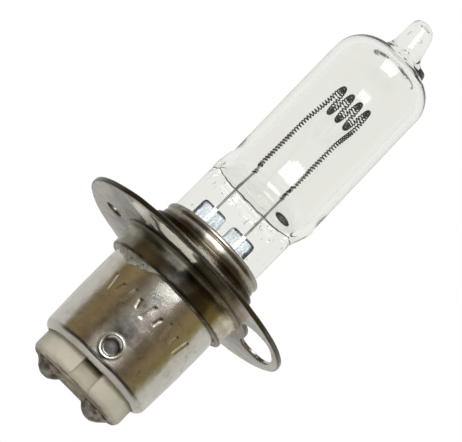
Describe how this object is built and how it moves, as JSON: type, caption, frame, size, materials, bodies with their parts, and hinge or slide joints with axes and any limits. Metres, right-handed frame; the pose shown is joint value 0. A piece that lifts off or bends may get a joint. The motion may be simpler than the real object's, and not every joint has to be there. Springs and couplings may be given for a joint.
{
  "type": "halogen lamp",
  "caption": "Tubular quartz-halogen lamp with a coiled filament, a flat pinch seal, a pre-focus locating flange and a metal base shell with soldered end contacts.",
  "frame": {"origin": "centre of the flange's bulb-side face, on the lamp axis", "axes": "+Z along the lamp axis towards the glass tip; the round pin hole is on -X and the kidney slot on +X. Glass, shell and contacts are turned +10 degrees about Z against those holes."},
  "size_m": [0.03, 0.03, 0.061],
  "materials": {
    "quartz_glass": "clear fused quartz, slightly wavy, bubbly in the pinch",
    "tungsten": "dark grey drawn tungsten wire",
    "molybdenum_foil": "bright bluish foil with fine rolling lines",
    "lead_metal": "drawn wire",
    "glass_fibre_sleeving": "braided glass fibre",
    "cement": "rough, matt",
    "nickel_plate": "polished nickel plate with a faint heat tint and fine scratches",
    "solder": "dull, pitted solder",
    "cream_ceramic": "unglazed cream ceramic",
    "brass_eyelet": "drawn brass"
  },
  "bodies": {
    "root": {"quartz_envelope": "quartz_glass", "filament": "tungsten", "lead_wire_left": "tungsten", "lead_wire_right": "tungsten", "foil_left": "molybdenum_foil", "foil_right": "molybdenum_foil", "outer_lead_left": "lead_metal", "outer_lead_right": "lead_metal", "lead_sleeve_left": "glass_fibre_sleeving", "lead_sleeve_right": "glass_fibre_sleeving", "base_cement": "cement", "collar": "nickel_plate", "flange_plate": "nickel_plate", "skirt_ring": "nickel_plate", "solder_fillet": "solder", "base_shell": "nickel_plate", "insulator": "cream_ceramic", "contact_eyelet_left": "brass_eyelet", "contact_eyelet_right": "brass_eyelet", "solder_contact_left": "solder", "solder_contact_right": "solder"}
  },
  "joints": []
}
